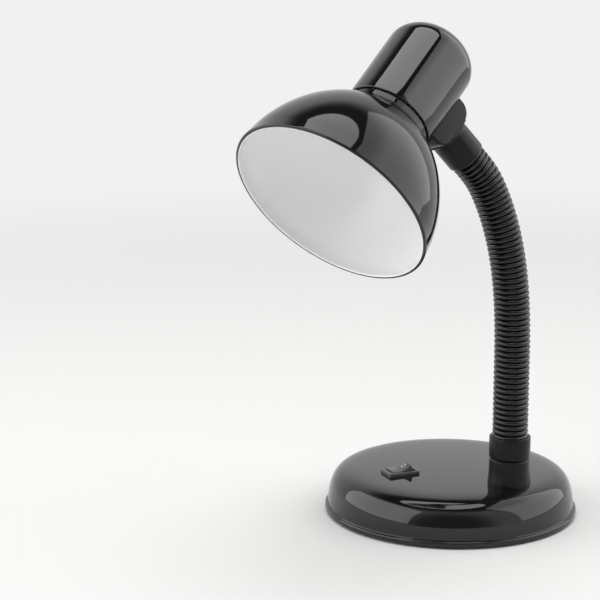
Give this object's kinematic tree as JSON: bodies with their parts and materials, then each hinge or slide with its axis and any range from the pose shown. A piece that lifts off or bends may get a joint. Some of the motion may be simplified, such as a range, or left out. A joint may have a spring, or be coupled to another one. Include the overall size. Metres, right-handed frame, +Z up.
{
  "type": "gooseneck desk lamp",
  "caption": "Desk lamp with a heavy round base, rocker switch, ribbed flexible neck, cylindrical lampholder housing and deep dome shade.",
  "frame": {"origin": "middle of the base, on the face that rests on the table", "axes": "+Z up; -X is the front, where the switch lies and towards which the neck bends; the neck's foot stands at -Y"},
  "size_m": [0.2421, 0.216, 0.3117],
  "materials": {
    "cover_black": "deep black gloss moulding",
    "plate_steel": "black coated sheet",
    "cast_weight": "rough sand cast",
    "screw_steel": "zinc plated",
    "black_foam": "matt foam sheet",
    "black_rubber": "matt",
    "switch_black": "fine satin",
    "rocker_black": "satin gloss",
    "white_print": "filled mark",
    "natural_nylon": "natural nylon",
    "spring_steel": "drawn wire",
    "contact_brass": "clean stamped strip",
    "brass_tube": "threaded tube",
    "nut_steel": "zinc plated",
    "brown_wire": "insulated wire",
    "blue_wire": "insulated wire",
    "lead_black": "sheathed flexible lead",
    "hose_black": "soft satin ribbed hose",
    "core_steel": "wound wire core",
    "ferrule_black": "satin moulding",
    "housing_black": "deep black gloss",
    "shade_black": "black gloss enamel outside, white inside",
    "holder_white": "glazed porcelain",
    "shell_brass": "nickel tinted rolled shell",
    "ring_white": "threaded ring"
  },
  "bodies": {
    "base": {"base_cover": "cover_black", "base_plate": "plate_steel", "counterweight": "cast_weight", "weight_screws": "screw_steel", "cover_screws": "screw_steel", "base_pad": "black_foam", "cord_grommet": "black_rubber", "switch_housing": "switch_black", "switch_terminals": "contact_brass", "foot_collar": "ferrule_black", "foot_nipple": "brass_tube", "foot_washer": "nut_steel", "foot_nut": "nut_steel", "switch_lead": "brown_wire", "neutral_lead": "blue_wire", "splice_cap": "natural_nylon", "neck_lead": "lead_black", "neck_hose_0": "hose_black", "neck_core_0": "core_steel"},
    "neck_link_1": {"neck_hose_1": "hose_black", "neck_core_1": "core_steel"},
    "neck_link_2": {"neck_hose_2": "hose_black", "neck_core_2": "core_steel"},
    "neck_link_3": {"neck_hose_3": "hose_black", "neck_core_3": "core_steel"},
    "neck_link_4": {"neck_hose_4": "hose_black", "neck_core_4": "core_steel"},
    "neck_link_5": {"neck_hose_5": "hose_black", "neck_core_5": "core_steel"},
    "neck_link_6": {"neck_hose_6": "hose_black", "neck_core_6": "core_steel"},
    "neck_link_7": {"neck_hose_7": "hose_black", "neck_core_7": "core_steel"},
    "neck_link_8": {"neck_hose_8": "hose_black", "neck_core_8": "core_steel"},
    "neck_link_9": {"neck_hose_9": "hose_black", "neck_core_9": "core_steel"},
    "head": {"ferrule": "ferrule_black", "bracket_block": "ferrule_black", "head_nipple": "brass_tube", "head_nut": "nut_steel", "lamp_housing": "housing_black", "holder_strap": "nut_steel", "strap_screws": "screw_steel", "holder_body": "holder_white", "holder_shell": "shell_brass", "centre_contact": "contact_brass", "side_contact": "contact_brass", "shade": "shade_black", "shade_ring": "ring_white", "head_leads": "brown_wire", "neck_hose_10": "hose_black", "neck_core_10": "core_steel"},
    "rocker": {"rocker": "rocker_black", "rocker_marks": "white_print", "rocker_plunger": "natural_nylon", "plunger_spring": "spring_steel"},
    "contact_blade": {"contact_blade": "contact_brass"}
  },
  "joints": [
    {"name": "lower_bend_1", "type": "hinge", "parent": "base", "child": "neck_link_1", "pos_m": [0.0171, -0.0463, 0.0755], "axis": [0, -1, 0], "range_deg": [-15, 12], "deforming": ["neck_lead"]},
    {"name": "side_bend_1", "type": "hinge", "parent": "neck_link_1", "child": "neck_link_2", "pos_m": [0.0171, -0.0463, 0.092], "axis": [1, 0, 0], "range_deg": [-12, 12]},
    {"name": "lower_bend_2", "type": "hinge", "parent": "neck_link_2", "child": "neck_link_3", "pos_m": [0.0171, -0.0463, 0.1085], "axis": [0, -1, 0], "range_deg": [-15, 12]},
    {"name": "side_bend_2", "type": "hinge", "parent": "neck_link_3", "child": "neck_link_4", "pos_m": [0.01694, -0.0463, 0.125], "axis": [0.9996, 0, 0.0289], "range_deg": [-12, 12]},
    {"name": "lower_bend_3", "type": "hinge", "parent": "neck_link_4", "child": "neck_link_5", "pos_m": [0.01615, -0.0463, 0.14148], "axis": [0, -1, 0], "range_deg": [-15, 12]},
    {"name": "upper_bend_1", "type": "hinge", "parent": "neck_link_5", "child": "neck_link_6", "pos_m": [0.01448, -0.0463, 0.1579], "axis": [0, -1, 0], "range_deg": [-15, 10]},
    {"name": "side_bend_3", "type": "hinge", "parent": "neck_link_6", "child": "neck_link_7", "pos_m": [0.01168, -0.0463, 0.17416], "axis": [0.9776, 0, 0.2104], "range_deg": [-12, 12]},
    {"name": "upper_bend_2", "type": "hinge", "parent": "neck_link_7", "child": "neck_link_8", "pos_m": [0.00754, -0.0463, 0.19013], "axis": [0, -1, 0], "range_deg": [-15, 10]},
    {"name": "side_bend_4", "type": "hinge", "parent": "neck_link_8", "child": "neck_link_9", "pos_m": [0.00183, -0.0463, 0.20561], "axis": [0.9171, 0, 0.3988], "range_deg": [-12, 12]},
    {"name": "upper_bend_3", "type": "hinge", "parent": "neck_link_9", "child": "head", "pos_m": [-0.0056, -0.0463, 0.22034], "axis": [0, -1, 0], "range_deg": [-15, 10]},
    {"name": "rocker_tilt", "type": "hinge", "parent": "base", "child": "rocker", "pos_m": [-0.0367, -0.0029, 0.02884], "axis": [0, 1, 0], "range_deg": [0, 32]},
    {"name": "contact_tilt", "type": "hinge", "parent": "base", "child": "contact_blade", "pos_m": [-0.0367, -0.0029, 0.02045], "axis": [0, 1, 0], "range_deg": [-16, 0]}
  ],
  "couplings": [
    {"joint": "lower_bend_2", "follows": "lower_bend_1", "ratio": 1},
    {"joint": "side_bend_2", "follows": "side_bend_1", "ratio": 1},
    {"joint": "lower_bend_3", "follows": "lower_bend_1", "ratio": 1},
    {"joint": "side_bend_3", "follows": "side_bend_1", "ratio": 1},
    {"joint": "upper_bend_2", "follows": "upper_bend_1", "ratio": 1},
    {"joint": "side_bend_4", "follows": "side_bend_1", "ratio": 1},
    {"joint": "upper_bend_3", "follows": "upper_bend_1", "ratio": 1},
    {"joint": "contact_tilt", "follows": "rocker_tilt", "ratio": -0.5}
  ]
}
